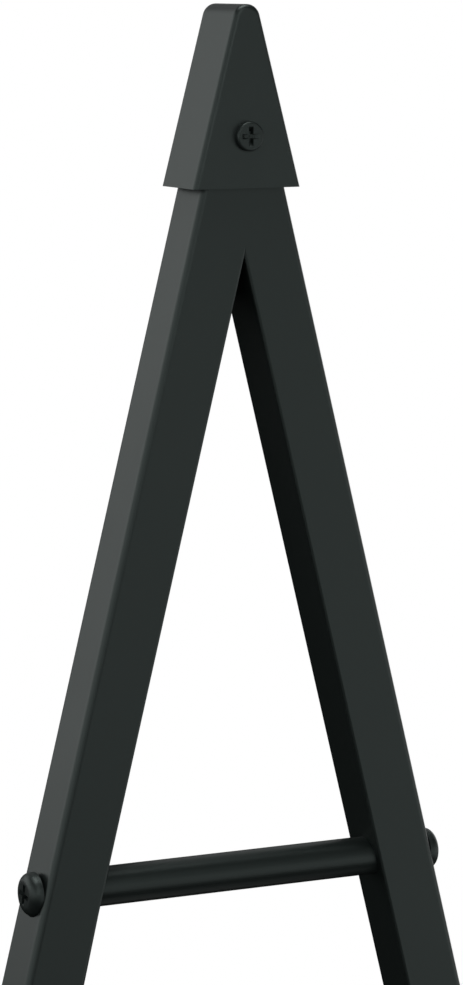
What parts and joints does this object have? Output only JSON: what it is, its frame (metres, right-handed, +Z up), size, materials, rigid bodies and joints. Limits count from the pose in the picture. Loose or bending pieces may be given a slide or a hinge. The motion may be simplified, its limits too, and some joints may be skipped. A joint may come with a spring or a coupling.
{
  "type": "folding tripod stand with rungs",
  "caption": "Tall folding stand: a narrow square-tube A-frame with round rungs, a hinged rear leg, a wedge cap over the apex and rubber boots.",
  "frame": {"origin": "on the ground, under the middle of the open stand's footprint", "axes": "+Z up, +X to the right seen from the front, +Y from the A-frame back towards the rear leg"},
  "size_m": [0.7888, 0.7024, 1.5637],
  "materials": {
    "tube_paint": "matt charcoal powder coat with a fine orange peel",
    "cap_plastic": "moulded charcoal nylon, fine matt texture",
    "black_bolt": "black oxide and paint, satin",
    "inner_steel": "bare turned steel",
    "zinc_steel": "dull zinc plate",
    "boot_rubber": "moulded black rubber, matt"
  },
  "bodies": {
    "a_frame": {"left_leg": "tube_paint", "right_leg": "tube_paint", "apex_block": "inner_steel", "rung_1": "tube_paint", "rung_inserts_1": "inner_steel", "rung_bolts_1": "black_bolt", "crush_blocks_1": "inner_steel", "rung_2": "tube_paint", "rung_inserts_2": "inner_steel", "rung_bolts_2": "black_bolt", "crush_blocks_2": "inner_steel", "rung_3": "tube_paint", "rung_inserts_3": "inner_steel", "rung_bolts_3": "black_bolt", "crush_blocks_3": "inner_steel", "rung_4": "tube_paint", "rung_inserts_4": "inner_steel", "rung_bolts_4": "black_bolt", "crush_blocks_4": "inner_steel", "cap": "cap_plastic", "cap_screw_front": "black_bolt", "cap_screw_rear": "black_bolt", "hinge_bracket": "tube_paint", "bracket_screws": "black_bolt", "bracket_rivets": "black_bolt", "hinge_pin": "zinc_steel", "hinge_clip": "zinc_steel", "left_foot": "boot_rubber", "right_foot": "boot_rubber"},
    "rear_strut": {"rear_leg": "tube_paint", "hinge_bush": "inner_steel", "rear_leg_plug": "cap_plastic", "rear_foot": "boot_rubber"}
  },
  "joints": [
    {"name": "rear_leg_fold", "type": "hinge", "parent": "a_frame", "child": "rear_strut", "pos_m": [0, -0.30317, 1.45085], "axis": [1, 0, 0], "range_deg": [-23.8, 0]}
  ]
}
